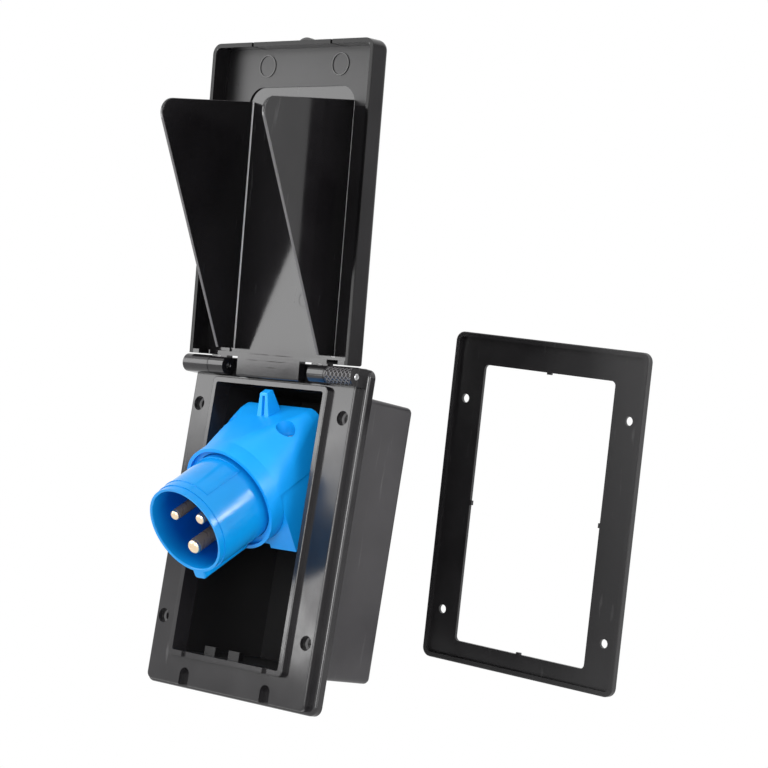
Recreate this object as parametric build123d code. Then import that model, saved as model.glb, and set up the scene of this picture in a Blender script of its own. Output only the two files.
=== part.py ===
from build123d import *
import math
import os

# A flush mains inlet: a wall box with a flange, a lid on a hinge along its top, and an angled
# pin inlet that tilts out of the box. A loose frame clamps the wall from behind.
# Origin: the middle of the four flange screws, on the face that meets the wall.
# +X is right, +Y goes into the wall and +Z is up.

# Flange, its raised platform and the rim round the opening
flange_width = 112.0
flange_top_margin = 10.2
flange_bottom_margin = 14.6
flange_corner = 4.5
lip_thickness = 4.4
platform_height = 3.6
platform_side_step = 4.0
platform_end_step = 1.5
rim_height = 2.6
rim_wall = 2.6
opening_width = 70.0
opening_height = 128.0
opening_centre_z = -1.8
opening_corner = 1.2
screw_spacing_x = 94.0
screw_spacing_z = 102.4
screw_hole_r = 2.1
counterbore_r = 3.4
counterbore_depth = 3.4
groove_spacing = 53.4
groove_width = 6.2
groove_length = 9.8
notch_width = 3.0
notch_depth = 1.6

# Box behind the flange
box_depth = 51.0
box_wall = 2.2
box_draft = 0.5
box_rear_edge = 2.0
box_seat = 1.2
floor_tab_width = 7.0
floor_tab_height = 4.0
floor_tab_depth = 3.0
floor_tab_xs = (-20.5, -4.5)

# Lid hinge
hinge_forward = 3.5
hinge_below_top = 5.0
open_angle = 173.2
hinge_pin_r = 1.5
press_clearance = 0.02
running_clearance = 0.06
knuckle_r = 4.3
knuckle_gap = 0.4
outer_knuckle_inner_x = 38.2
knuckle_past_lid = 3.0
lid_knuckle_length = 10.0
hinge_groove_clearance = 0.6

# Lid
lid_width = 104.0
lid_end_margin = 0.5
lid_wall = 2.2
lid_hollow = 9.4
lid_seat_gap = 0.35
lid_corner = 5.0
lid_skirt_wall = 2.0
lid_edge_round = 4.2
hinge_wall_gap = 0.5
web_half_width = 20.3
web_thickness = 4.0
web_back = 2.2
web_reach = 4.5
relief_width = 7.0
cheek_wall = 1.6
cheek_side_gap = 1.2
cheek_top_gap = 0.6
cheek_root_w = 3.6
cheek_end_gap = 9.8
cheek_tip_back = 6.0
cheek_tip_w = 54.0
cheek_corner = 7.0
cheek_edge = 0.45
pad_recess = 0.8
pad_from_end = 20.0
pad_corner = 9.0
mark_spacing = 47.2
mark_r = 5.3
mark_height = 0.4
mark_from_end = 10.0
slit_spacing = 51.0
slit_width = 1.2
tab_r = 7.8
tab_reach = 3.0
tab_thickness = 2.0

# Inlet: its own frame has the mouth centre as origin, Y back along the pins and Z up
inlet_tilt = 36.1
mouth_y = -48.5
mouth_z = -10.2
shroud_r = 22.0
shroud_wall = 2.1
shroud_length = 37.0
shroud_taper = 0.4
mouth_band = 3.4
mouth_step = 0.35
shroud_flange_r = 24.0
shroud_flange_thickness = 2.6
key_width = 7.0
key_height = 3.2
key_length = 29.0
collar_r = 26.0
collar_start = 30.0
collar_end = 38.0
collar_lip = 1.6
collar_groove_depth = 2.4
fit_gap = 0.3
housing_half_width = 24.5
housing_top = 24.7
housing_corner = 5.0
housing_loft_end = 72.0
housing_end = 76.3
housing_wall = 2.4
split_gap = 0.5
cover_bottom = 29.8
cover_notch_width = 16.0
cover_notch_height = 3.0
cover_notch_depth = 3.0
cover_edge = 1.5
lug_base_front = 63.5
lug_base_back = 72.5
lug_top_front = 69.2
lug_top_back = 73.0
lug_top = 34.8
lug_base_width = 8.0
lug_top_width = 4.6
lug_slot_width = 1.8
lug_slot_depth = 2.6

# Inlet fasteners and contacts
shell_screw_x = 18.5
shell_screw_b = 59.5
shell_screw_r = 1.7
shell_screw_head_r = 3.5
shell_screw_head = 2.2
shell_screw_seat = 15.5
shell_screw_reach = 13.0
pocket_r = 4.2
boss_r = 4.6
carrier_front = 33.0
carrier_thickness = 9.0
terminal_boss = 8.0
terminal_boss_wall = 1.8
pin_circle_r = 9.6
line_pin_r = 2.5
earth_pin_r = 3.5
line_pin_set_back = 3.0
earth_pin_set_back = 0.8
terminal_r = 4.2
terminal_length = 10.0
wire_hole_r = 1.8
terminal_screw_r = 1.5
terminal_screw_head_r = 2.4
terminal_screw_head = 1.6

# Cord clamp and cord outlet of the inlet
outlet_drop = 18.0
outlet_r = 8.0
outlet_bore_r = 4.0
outlet_length = 8.0
clamp_b = 69.0
clamp_width = 7.0
clamp_span = 22.0
clamp_thickness = 3.2
clamp_screw_r = 1.4
clamp_screw_head_r = 2.6
clamp_screw_head = 1.8
clamp_boss_r = 3.2

# Tilt hinge behind the inlet
pivot_b = 84.0
pivot_up = -2.1
pivot_pin_r = 2.5
pivot_eye_r = 5.0
ear_thickness = 3.6
ear_inner_x = 6.4
arm_thickness = 4.0
bracket_plate = 2.5
bracket_height = 20.0
bracket_screw_r = 1.6
bracket_screw_head_r = 3.0
bracket_screw_head = 1.8
bracket_screw_rise = 14.5

# Cable gland through the back of the box
gland_floor_gap = 11.8
gland_thread_r = 8.0
gland_hex = 19.0
gland_hex_thickness = 5.0
gland_dome_r = 8.6
gland_dome_length = 11.0
gland_bore_r = 4.5
gland_seal_thickness = 1.2
gland_nut_hex = 19.0
gland_nut_thickness = 3.2

# Loose frame that clamps the wall from behind, standing apart
frame_width_less = 1.4
frame_web = 1.6
frame_rim_depth = 3.2
frame_rim_wall = 2.4
frame_edge_round = 1.2
frame_opening_clearance = 0.4
frame_nub_width = 2.2
frame_nub_height = 0.9
frame_offset = (88.0, 89.8, 22.1)
frame_lean = 7.0
frame_turn = 2.75
frame_twist = 1.9

platform_y = -(lip_thickness + platform_height)
rim_y = platform_y - rim_height
opening_top = opening_centre_z + opening_height / 2
opening_bottom = opening_centre_z - opening_height / 2
flange_top = opening_top + rim_wall + flange_top_margin
flange_bottom = opening_bottom - rim_wall - flange_bottom_margin
flange_height = flange_top - flange_bottom
flange_centre_z = (flange_top + flange_bottom) / 2
box_inner_y = box_depth - box_wall
gland_z = opening_bottom + gland_floor_gap
hinge_y = platform_y - hinge_forward
hinge_z = flange_top - hinge_below_top
hinge_groove_r = math.hypot(web_reach, web_back) + hinge_groove_clearance

# Lid stations, measured from the hinge axis: v towards the far end and w towards the wall
skirt_w = hinge_forward - lid_seat_gap
plate_w = skirt_w - lid_hollow
outer_w = plate_w - lid_wall
lid_start_v = knuckle_r + hinge_wall_gap
lid_end_v = hinge_z - (flange_bottom + lid_end_margin)
cheek_outer_x = opening_width / 2 - cheek_side_gap
cheek_inner_x = cheek_outer_x - cheek_wall
cheek_start_v = hinge_z - opening_top + cheek_top_gap
cheek_base_v = hinge_z - opening_bottom - cheek_end_gap
cheek_tip_v = cheek_base_v - cheek_tip_back
pad_end_v = lid_end_v - pad_from_end
mark_v = lid_end_v - mark_from_end
rim_clear_w = rim_y - knuckle_gap - hinge_y
rim_clear_v = hinge_z - opening_top - rim_wall - knuckle_gap
outer_knuckle_outer_x = lid_width / 2 + knuckle_past_lid
lid_knuckle_outer_x = outer_knuckle_inner_x - knuckle_gap
lid_knuckle_inner_x = lid_knuckle_outer_x - lid_knuckle_length

tilt = math.radians(inlet_tilt)
inlet_place = Pos(0, mouth_y, mouth_z) * Rot(inlet_tilt, 0, 0)
pivot_y = mouth_y + pivot_b * math.cos(tilt) - pivot_up * math.sin(tilt)
pivot_z = mouth_z + pivot_b * math.sin(tilt) + pivot_up * math.cos(tilt)
fold_angle = 90 - inlet_tilt


def block(x, y, z):
    """A box between two values on each axis."""
    size = [abs(pair[1] - pair[0]) for pair in (x, y, z)]
    middle = [(pair[0] + pair[1]) / 2 for pair in (x, y, z)]
    return Pos(*middle) * Box(*size)


def rod_x(radius, x, y, z):
    """A round bar along X at one y and z."""
    return Pos((x[0] + x[1]) / 2, y, z) * Rot(0, 90, 0) * Cylinder(radius, abs(x[1] - x[0]))


def rod_y(radius, y, x=0.0, z=0.0):
    """A round bar along Y at one x and z."""
    return Pos(x, (y[0] + y[1]) / 2, z) * Rot(90, 0, 0) * Cylinder(radius, abs(y[1] - y[0]))


def rod_z(radius, z, x, y):
    """A round bar along Z at one x and y."""
    return Pos(x, y, (z[0] + z[1]) / 2) * Cylinder(radius, abs(z[1] - z[0]))


def panel(width, height, corner, y, centre_z=0.0, taper=0.0):
    """A plate with round corners that runs from the first y to the second."""
    forward = y[1] < y[0]
    facing = Plane(origin=(0, y[0], centre_z), x_dir=(1, 0, 0), z_dir=(0, -1 if forward else 1, 0))
    outline = facing * RectangleRounded(width, height, corner)
    return extrude(outline, abs(y[1] - y[0]), taper=taper)


def both_sides(piece):
    """A piece and its mirror image in the middle plane."""
    return piece + mirror(piece, Plane.YZ)


def edges_at_y(piece, y):
    return piece.edges().filter_by(lambda edge: all(abs(v.Y - y) < 1e-4 for v in edge.vertices()))


def screw_places():
    """The four flange screw places, as x and z."""
    half_x = screw_spacing_x / 2
    half_z = screw_spacing_z / 2
    return [(sx * half_x, sz * half_z) for sx in (-1, 1) for sz in (-1, 1)]


def flange_body():
    """Lip, platform and rim, with the round edges of the moulding."""
    lip = panel(flange_width, flange_height, flange_corner, (0, -lip_thickness), flange_centre_z)
    lip = fillet(edges_at_y(lip, -lip_thickness), lip_thickness / 3)
    platform = panel(
        flange_width - 2 * platform_side_step,
        flange_height - 2 * platform_end_step,
        flange_corner - platform_end_step,
        (-lip_thickness / 2, platform_y),
        flange_centre_z,
    )
    platform = fillet(edges_at_y(platform, platform_y), platform_height / 5)
    rim = panel(
        opening_width + 2 * rim_wall,
        opening_height + 2 * rim_wall,
        opening_corner + rim_wall / 2,
        (-lip_thickness / 2, rim_y),
        opening_centre_z,
    )
    rim = fillet(edges_at_y(rim, rim_y), rim_wall / 5)
    return lip + platform + rim


def flange_cuts():
    """Screw holes, the grooves at the bottom edge and the notches in the rim above them."""
    cuts = []
    for x, z in screw_places():
        cuts.append(rod_y(screw_hole_r, (platform_y - 1, 1), x, z))
        cuts.append(rod_y(counterbore_r, (platform_y - 1, platform_y + counterbore_depth), x, z))
    groove_top = flange_bottom + groove_length - groove_width / 2
    for side in (-1, 1):
        x = side * groove_spacing / 2
        span = (platform_y - 1, -lip_thickness)
        cuts.append(rod_y(groove_width / 2, span, x, groove_top))
        half = groove_width / 2
        cuts.append(block((x - half, x + half), span, (flange_bottom - 1, groove_top)))
        low = opening_bottom - rim_wall - 1
        half = notch_width / 2
        cuts.append(block((x - half, x + half), (rim_y - 1, rim_y + notch_depth), (low, opening_bottom + 1)))
    return cuts


def hinge_knuckles():
    """The two outer knuckles, each a round eye with a foot on the platform."""
    span = (outer_knuckle_inner_x, outer_knuckle_outer_x)
    eye = rod_x(knuckle_r, span, hinge_y, hinge_z)
    foot = block(span, (hinge_y, -lip_thickness / 2), (hinge_z - knuckle_r, hinge_z + knuckle_r))
    return both_sides(eye + foot)


def floor_tabs():
    """Two short stops that stand on the floor of the box behind the opening."""
    tabs = []
    for x in floor_tab_xs:
        half = floor_tab_width / 2
        z = (opening_bottom - box_wall / 2, opening_bottom + floor_tab_height)
        tabs.append(block((x - half, x + half), (0, floor_tab_depth), z))
    return tabs


def box_outline(y, taper=0.0):
    """A slab of the deep box's outline."""
    width = opening_width + 2 * box_wall
    height = opening_height + 2 * box_wall
    return panel(width, height, opening_corner + box_wall, y, opening_centre_z, taper)


def flange():
    """The front of the moulding: flange, rim and hinge knuckles, open through the middle."""
    mouth = panel(opening_width, opening_height, opening_corner, (1, rim_y - 1), opening_centre_z)
    body = flange_body() - mouth - box_outline((1, -box_seat))
    groove = (-outer_knuckle_inner_x, outer_knuckle_inner_x)
    body -= rod_x(hinge_groove_r, groove, hinge_y, hinge_z)
    body += hinge_knuckles()
    body -= flange_cuts()
    pin_way = (outer_knuckle_inner_x - 1, outer_knuckle_outer_x + 1)
    return body - both_sides(rod_x(hinge_pin_r + press_clearance, pin_way, hinge_y, hinge_z))


def recess_box():
    """The deep box of the same moulding, from its seat in the flange to the closed back."""
    outer = box_outline((0, box_depth), box_draft)
    outer = fillet(edges_at_y(outer, box_depth), box_rear_edge)
    inside = (0, box_inner_y)
    cavity = panel(opening_width, opening_height, opening_corner, inside, opening_centre_z, box_draft)
    mouth = panel(opening_width, opening_height, opening_corner, (-box_seat - 1, 1), opening_centre_z)
    body = outer - cavity + (box_outline((-box_seat, 0)) - mouth)
    body -= rod_y(gland_thread_r + fit_gap / 3, (box_inner_y - 1, box_depth + 1), 0, gland_z)
    for x, z in bracket_screw_places():
        body -= rod_y(bracket_screw_r, (box_inner_y - 1, box_inner_y + box_wall * 0.7), x, z)
    return body + floor_tabs()


def hinge_pin(side):
    """A plain steel pin, fixed in the flange's knuckle, that carries one knuckle of the lid."""
    inner = lid_knuckle_inner_x + 1
    outer = outer_knuckle_outer_x + hinge_pin_r / 5
    pin = rod_x(hinge_pin_r, (side * inner, side * outer), hinge_y, hinge_z)
    return chamfer(pin.edges().filter_by(GeomType.CIRCLE), hinge_pin_r / 5)


def lid_block(u, v, w):
    """A box in the closed lid's stations: across, away from the hinge and towards the wall."""
    return block(u, (hinge_y + w[0], hinge_y + w[1]), (hinge_z - v[1], hinge_z - v[0]))


def lid_slab(inset, w):
    """A slab of the lid's outline, drawn in by an inset: round at the latch end, square at the hinge."""
    low = lid_start_v + inset
    high = lid_end_v - inset
    half = lid_width / 2 - inset
    y = (hinge_y + w[0], hinge_y + w[1])
    slab = panel(2 * half, high - low, lid_corner - inset, y, hinge_z - (low + high) / 2)
    return slab + lid_block((-half, half), (low, low + 2 * lid_corner), w)


def lid_tray():
    """The lid's plate with its skirt on all four sides."""
    tray = lid_slab(0.0, (outer_w, skirt_w))
    tray = fillet(edges_at_y(tray, hinge_y + outer_w), lid_edge_round)
    return tray - lid_slab(lid_skirt_wall, (plate_w, skirt_w + 1))


def lid_pad():
    """The shallow panel sunk into the plate between the cheeks, round at its far corners."""
    half = cheek_outer_x + cheek_side_gap / 2
    low = lid_start_v + lid_skirt_wall
    y = (hinge_y + plate_w + 1, hinge_y + plate_w - pad_recess)
    pad = panel(2 * half, pad_end_v - low, pad_corner, y, hinge_z - (low + pad_end_v) / 2)
    return pad + lid_block((-half, half), (low, low + 2 * pad_corner), (plate_w - pad_recess, plate_w + 1))


def lid_marks():
    """Two low round marks near the latch end."""
    z = hinge_z - mark_v
    y = (hinge_y + plate_w - lid_wall / 2, hinge_y + plate_w + mark_height)
    x = mark_spacing / 2
    mark = rod_y(mark_r, y, x, z) - rod_y(mark_r - mark_height, (y[0], y[1] + 1), x, z)
    return both_sides(mark)


def lid_cheek():
    """One side wedge, which stands at right angles to the plate."""
    root = plate_w - lid_wall / 2
    points = [
        (cheek_start_v, root),
        (cheek_start_v, cheek_root_w),
        (cheek_tip_v, cheek_tip_w),
        (cheek_base_v, root),
    ]
    profile = [(hinge_y + w, hinge_z - v) for v, w in points]
    face = make_face(Polyline(*profile, close=True))
    tip = face.vertices().sort_by_distance((hinge_y + cheek_tip_w, hinge_z - cheek_tip_v, 0))[0]
    face = fillet(tip, cheek_corner)
    plane = Plane(origin=(cheek_inner_x, 0, 0), x_dir=(0, 1, 0), z_dir=(1, 0, 0))
    cheek = extrude(plane * face, cheek_wall)
    free = cheek.edges().filter_by(lambda e: e.center().Y > hinge_y + root + 0.1)
    faces = (cheek_inner_x, cheek_outer_x)
    return fillet(free.filter_by(lambda e: min(abs(e.center().X - x) for x in faces) < 0.01), cheek_edge)


def lid_hinge_leaf():
    """The middle web and the two knuckles that turn on the pins."""
    across = (-web_half_width, web_half_width)
    web = lid_block(across, (-web_reach, lid_start_v + 1), (-web_back, web_thickness - web_back))
    corners = web.edges().filter_by(Axis.X).filter_by(lambda e: e.center().Z > hinge_z)
    web = fillet(corners, web_back / 2)
    span = (lid_knuckle_inner_x, lid_knuckle_outer_x)
    eye = rod_x(knuckle_r, span, hinge_y, hinge_z)
    arm = lid_block(span, (0, lid_start_v + 1), (-web_back, web_thickness - web_back - 0.2))
    return web + both_sides(eye + arm)


def lid_cuts():
    """Clearance for the rim, the flange knuckles' reliefs, the pin ways and the latch slits."""
    cuts = []
    top_wall = (lid_start_v - 1, lid_start_v + lid_skirt_wall + 0.01)
    rim_half = opening_width / 2 + rim_wall + knuckle_gap
    over_rim = (min(rim_clear_v, lid_start_v), top_wall[1])
    cuts.append(lid_block((-rim_half, rim_half), over_rim, (rim_clear_w, skirt_w + 1)))
    for side in (-1, 1):
        near = side * (outer_knuckle_inner_x + knuckle_gap)
        relief = (near, near + side * relief_width)
        cuts.append(lid_block(tuple(sorted(relief)), top_wall, (plate_w, skirt_w + 1)))
        x = side * slit_spacing / 2
        end_wall = (lid_end_v - lid_skirt_wall - 0.5, lid_end_v + 1)
        half = slit_width / 2
        cuts.append(lid_block((x - half, x + half), end_wall, (plate_w, skirt_w + 1)))
    return cuts


def lid_closed():
    """The lid as moulded, in its closed place."""
    lid = lid_tray() - lid_pad()
    lid += lid_marks()
    lid += both_sides(lid_cheek())
    lid += lid_hinge_leaf()
    lid -= lid_cuts()
    tab_y = (hinge_y + outer_w, hinge_y + outer_w + tab_thickness)
    lid += rod_y(tab_r, tab_y, 0, hinge_z - lid_end_v + tab_r - tab_reach)
    way = (lid_knuckle_inner_x - 1, lid_knuckle_outer_x + 1)
    lid -= both_sides(rod_x(hinge_pin_r + running_clearance, way, hinge_y, hinge_z))
    return lid


def lid():
    """The lid turned up from its closed place to the place where it stands open."""
    turn = Pos(0, hinge_y, hinge_z) * Rot(-open_angle, 0, 0) * Pos(0, -hinge_y, -hinge_z)
    return turn * lid_closed()


def ring(outer, inner, b):
    """A round sleeve along the inlet's axis."""
    return rod_y(outer, b) - rod_y(inner, (b[0] - 1, b[1] + 1))


def inlet_shroud():
    """The round shroud with its key rib, and the flange that the shells trap."""
    back = shroud_length
    outer = Pos(0, back / 2, 0) * Rot(-90, 0, 0) * Cone(shroud_r - shroud_taper, shroud_r, back)
    outer -= ring(shroud_r + 1, shroud_r - shroud_taper - mouth_step, (-1, mouth_band))
    key_top = shroud_r - shroud_taper - shroud_wall / 2
    key = block((-key_width / 2, key_width / 2), (0, key_length), (-shroud_r - key_height, -key_top))
    key = fillet(key.edges().filter_by(Axis.Y).group_by(Axis.Z)[0], key_width / 4)
    key = fillet(key.edges().group_by(Axis.Y)[0].group_by(Axis.Z)[0], key_height / 4)
    seat = back - shroud_flange_thickness
    body = outer + key + rod_y(shroud_flange_r, (seat, back))
    body -= rod_y(shroud_r - shroud_wall, (-1, back + 1))
    mouth = body.edges().filter_by(GeomType.CIRCLE).filter_by(lambda e: abs(e.center().Y) < 0.01)
    inner = mouth.filter_by(lambda e: abs(e.radius - (shroud_r - shroud_wall)) < 0.01)
    return fillet(inner, shroud_wall / 4)


def housing_section(inset, b, round_share):
    """The housing's section at one station: a circle at the collar and a round box at the back."""
    facing = Plane(origin=(0, b, 0), x_dir=(1, 0, 0), z_dir=(0, 1, 0))
    if round_share:
        size = 2 * (collar_r - inset)
        return facing * RectangleRounded(size, size, size / 2 - 0.05)
    width = 2 * (housing_half_width - inset)
    height = 2 * (housing_top - inset)
    return facing * RectangleRounded(width, height, housing_corner - inset / 2)


def housing_form(inset, start, end):
    """The housing's outer or inner form, from the round collar to the box-like back."""
    neck = loft([housing_section(inset, start, True), housing_section(inset, housing_loft_end, False)])
    back = extrude(housing_section(inset, housing_loft_end, False), end - housing_loft_end)
    return neck + back


def catch_lug():
    """The tapered lug on top, with a slot in its front, that a connector's flap hooks over."""
    root = housing_top - housing_wall / 2
    side = [(lug_base_front, root), (lug_top_front, lug_top), (lug_top_back, lug_top), (lug_base_back, root)]
    plane = Plane(origin=(-lug_base_width / 2, 0, 0), x_dir=(0, 1, 0), z_dir=(1, 0, 0))
    lug = extrude(plane * make_face(Polyline(*side, close=True)), lug_base_width)
    half_base = lug_base_width / 2
    half_top = lug_top_width / 2
    front = [(-half_base, root), (half_base, root), (half_top, lug_top), (-half_top, lug_top)]
    face = Plane.XZ.offset(-lug_base_back - 2) * make_face(Polyline(*front, close=True))
    lug &= extrude(face, lug_base_back - lug_base_front + 6)
    lug = fillet(lug.edges().group_by(Axis.Z)[-1], lug_top_width / 8)
    slot = [
        (lug_base_front - 1, root),
        (lug_top_front - 1, lug_top - lug_slot_depth / 2),
        (lug_top_front + lug_slot_depth, lug_top - lug_slot_depth / 2),
        (lug_base_front + lug_slot_depth, root),
    ]
    plane = Plane(origin=(-lug_slot_width / 2, 0, 0), x_dir=(0, 1, 0), z_dir=(1, 0, 0))
    return lug - extrude(plane * make_face(Polyline(*slot, close=True)), lug_slot_width)


def inlet_housing():
    """The upper shell with its collar, shoulders, screw pockets and lug."""
    top_room = (split_gap / 2, lug_top + 1)
    far = housing_half_width + 5
    upper = block((-far, far), (collar_end - 1, housing_end + 1), top_room)
    shell = housing_form(0, collar_end, housing_end) & upper
    for side in (-1, 1):
        x = side * shell_screw_x
        shell -= rod_z(pocket_r, (shell_screw_seat, lug_top), x, shell_screw_b)
    hollow = housing_form(housing_wall, collar_end, housing_end - housing_wall)
    for side in (-1, 1):
        x = side * shell_screw_x
        room = pocket_r + housing_wall
        hollow -= rod_z(boss_r, (split_gap / 2 - 1, shell_screw_seat), x, shell_screw_b)
        hollow -= rod_z(room, (shell_screw_seat - housing_wall, lug_top), x, shell_screw_b)
    shell = shell - hollow + ring(collar_r, shroud_r + fit_gap, (collar_start, collar_end))
    shell -= rod_y(collar_r - collar_lip, (collar_start - 1, collar_start + collar_groove_depth))
    seat = shroud_length - shroud_flange_thickness - fit_gap / 3
    shell -= rod_y(shroud_flange_r + fit_gap / 3, (seat, collar_end + 1))
    for side in (-1, 1):
        x = side * shell_screw_x
        shell -= rod_z(shell_screw_r + fit_gap, (-1, shell_screw_seat + 1), x, shell_screw_b)
    return shell + catch_lug()


def cover_ears():
    """Two ears behind the lower shell that swing on the tilt pin."""
    span = (ear_inner_x, ear_inner_x + ear_thickness)
    eye = rod_x(pivot_eye_r, span, pivot_b, pivot_up)
    foot_z = (pivot_up - pivot_eye_r, min(-split_gap, pivot_up + pivot_eye_r))
    foot = block(span, (housing_end - housing_wall / 2, pivot_b), foot_z)
    return both_sides(eye + foot)


def inlet_cover():
    """The lower shell, with the screw bosses, the cord outlet and the ears."""
    half = housing_half_width
    front = collar_end + split_gap
    top = -split_gap / 2
    shell = block((-half, half), (front, housing_end), (-cover_bottom, top))
    rear = shell.edges().filter_by(Axis.Z).group_by(Axis.Y)[-1]
    shell = fillet(rear, cover_edge)
    inner = half - housing_wall
    room = (front + housing_wall, housing_end - housing_wall)
    shell -= block((-inner, inner), room, (-cover_bottom + housing_wall, 1))
    shell -= rod_y(shroud_r - shroud_wall + fit_gap, (front - 1, front + housing_wall + 1))
    notch = cover_notch_width / 2
    step = (-cover_bottom - 1, -cover_bottom + cover_notch_height)
    shell -= block((-notch, notch), (front - 1, front + cover_notch_depth), step)
    floor = -cover_bottom + housing_wall / 2
    for side in (-1, 1):
        shell += rod_z(boss_r, (floor, top), side * shell_screw_x, shell_screw_b)
        shell += rod_z(clamp_boss_r, (floor, -outlet_drop + outlet_bore_r), side * clamp_span / 2, clamp_b)
    outlet = rod_y(outlet_r, (housing_end - housing_wall, housing_end + outlet_length), 0, -outlet_drop)
    shell += fillet(outlet.edges().group_by(Axis.Y)[-1], 1.0)
    shell -= rod_y(outlet_bore_r, (room[1] - 1, housing_end + outlet_length + 1), 0, -outlet_drop)
    shell += cover_ears()
    pin_way = (-ear_inner_x - 2 * ear_thickness, ear_inner_x + 2 * ear_thickness)
    shell -= rod_x(pivot_pin_r + running_clearance, pin_way, pivot_b, pivot_up)
    for side in (-1, 1):
        bottom = -shell_screw_reach - fit_gap
        shell -= rod_z(shell_screw_r + press_clearance, (bottom, 1), side * shell_screw_x, shell_screw_b)
        low = -cover_bottom + housing_wall
        clamp_top = -outlet_drop + outlet_bore_r
        shell -= rod_z(clamp_screw_r + press_clearance, (low, clamp_top + 1), side * clamp_span / 2, clamp_b)
    return shell


def cross_slot(head_r, depth):
    """The crossed recess of a screw head whose top is at zero, facing up."""
    arm = head_r * 0.62
    thin = head_r * 0.16
    across = Box(2 * arm, 2 * thin, 2 * depth)
    return across + Box(2 * thin, 2 * arm, 2 * depth)


def screw_down(shank_r, head_r, head, length):
    """A cross-head screw that points down, with the seat of its head at zero."""
    body = Pos(0, 0, -length / 2) * Cylinder(shank_r, length)
    cap = Pos(0, 0, head / 2) * Cylinder(head_r, head)
    cap = fillet(cap.edges().group_by(Axis.Z)[-1], head / 3)
    return body + cap - Pos(0, 0, head) * cross_slot(head_r, head / 2)


def housing_screws():
    """The two screws in the shoulder pockets that clamp the shells."""
    length = shell_screw_seat + shell_screw_reach
    screw = screw_down(shell_screw_r, shell_screw_head_r, shell_screw_head, length)
    return [Pos(side * shell_screw_x, shell_screw_b, shell_screw_seat) * screw for side in (-1, 1)]


def pin_places():
    """Name, x, z, radius and set-back of each contact pin, with the earth pin lowest."""
    across = pin_circle_r * math.sin(math.radians(60))
    up = pin_circle_r * math.cos(math.radians(60))
    return [
        ("pin_live", -across, up, line_pin_r, line_pin_set_back),
        ("pin_neutral", across, up, line_pin_r, line_pin_set_back),
        ("pin_earth", 0.0, -pin_circle_r, earth_pin_r, earth_pin_set_back),
    ]


def contact_carrier():
    """The insulating disc behind the shroud, with a boss round each pin."""
    back = carrier_front + carrier_thickness
    carrier = rod_y(shroud_r - shroud_wall - press_clearance, (carrier_front, back))
    for _, x, z, radius, _ in pin_places():
        carrier += rod_y(radius + terminal_boss_wall, (back - 1, back + terminal_boss), x, z)
    for _, x, z, radius, _ in pin_places():
        carrier -= rod_y(radius + press_clearance, (carrier_front - 1, back + terminal_boss + 1), x, z)
    return carrier


def contact_pin(x, z, radius, set_back):
    """A turned contact pin with a round tip and a wire terminal behind the carrier."""
    seat = carrier_front + carrier_thickness + terminal_boss
    pin = rod_y(radius, (set_back, seat + 1), x, z)
    pin = fillet(pin.edges().group_by(Axis.Y)[0], radius * 0.55)
    pin += rod_y(terminal_r, (seat, seat + terminal_length), x, z)
    pin -= rod_y(wire_hole_r, (seat + 1, seat + terminal_length + 1), x, z)
    middle = seat + terminal_length / 2
    return pin - rod_z(terminal_screw_r + press_clearance, (z, z + terminal_r + 1), x, middle)


def terminal_screws():
    """One small screw in the top of each terminal."""
    middle = carrier_front + carrier_thickness + terminal_boss + terminal_length / 2
    reach = terminal_r - wire_hole_r + 0.6
    screw = screw_down(terminal_screw_r, terminal_screw_head_r, terminal_screw_head, reach)
    lift = terminal_r + 0.1
    return [Pos(x, middle, z + lift) * screw for _, x, z, _, _ in pin_places()]


def clamp_seat_z():
    """The underside of the cord clamp, on top of its bosses."""
    return -outlet_drop + outlet_bore_r


def cord_clamp():
    """The bar that holds the cord down just inside its outlet."""
    half = clamp_span / 2 + clamp_boss_r
    b = (clamp_b - clamp_width / 2, clamp_b + clamp_width / 2)
    seat = clamp_seat_z()
    bar = block((-half, half), b, (seat, seat + clamp_thickness))
    bar = fillet(bar.edges().filter_by(Axis.Z), clamp_width / 3)
    bar -= rod_y(outlet_bore_r, (b[0] - 1, b[1] + 1), 0, -outlet_drop + outlet_bore_r / 2)
    for side in (-1, 1):
        way = (seat - 1, seat + clamp_thickness + 1)
        bar -= rod_z(clamp_screw_r + fit_gap / 2, way, side * clamp_span / 2, clamp_b)
    return bar


def clamp_screws():
    """The two screws of the cord clamp."""
    seat = clamp_seat_z() + clamp_thickness
    length = seat + cover_bottom - housing_wall - fit_gap
    screw = screw_down(clamp_screw_r, clamp_screw_head_r, clamp_screw_head, length)
    return [Pos(side * clamp_span / 2, clamp_b, seat) * screw for side in (-1, 1)]


def arm_span():
    """Where each bracket arm lies, from its inner to its outer face."""
    inner = ear_inner_x + ear_thickness + fit_gap
    return inner, inner + arm_thickness


def bracket_screw_places():
    """The two bracket screws, as x and z."""
    x = arm_span()[0] - 1
    return [(side * x, pivot_z + bracket_screw_rise - pivot_eye_r) for side in (-1, 1)]


def tilt_bracket():
    """The bracket on the back wall whose arms carry the tilt pin."""
    span = arm_span()
    front = box_inner_y - bracket_plate
    eye = rod_x(pivot_eye_r, span, pivot_y, pivot_z)
    arm = block(span, (pivot_y, front + 1), (pivot_z - pivot_eye_r, pivot_z + pivot_eye_r))
    low = pivot_z - pivot_eye_r
    plate = block((-span[1], span[1]), (front, box_inner_y), (low, low + bracket_height))
    plate = fillet(plate.edges().filter_by(Axis.Y), 1.5)
    body = plate + both_sides(eye + arm)
    body -= rod_x(pivot_pin_r + press_clearance, (-span[1] - 1, span[1] + 1), pivot_y, pivot_z)
    for x, z in bracket_screw_places():
        body -= rod_y(bracket_screw_r + fit_gap / 3, (front - 1, box_depth), x, z)
    return body


def tilt_pin():
    """The steel pin that the inlet swings on."""
    reach = arm_span()[1] + 0.6
    pin = rod_x(pivot_pin_r, (-reach, reach), pivot_y, pivot_z)
    return chamfer(pin.edges().filter_by(GeomType.CIRCLE), 0.4)


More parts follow.
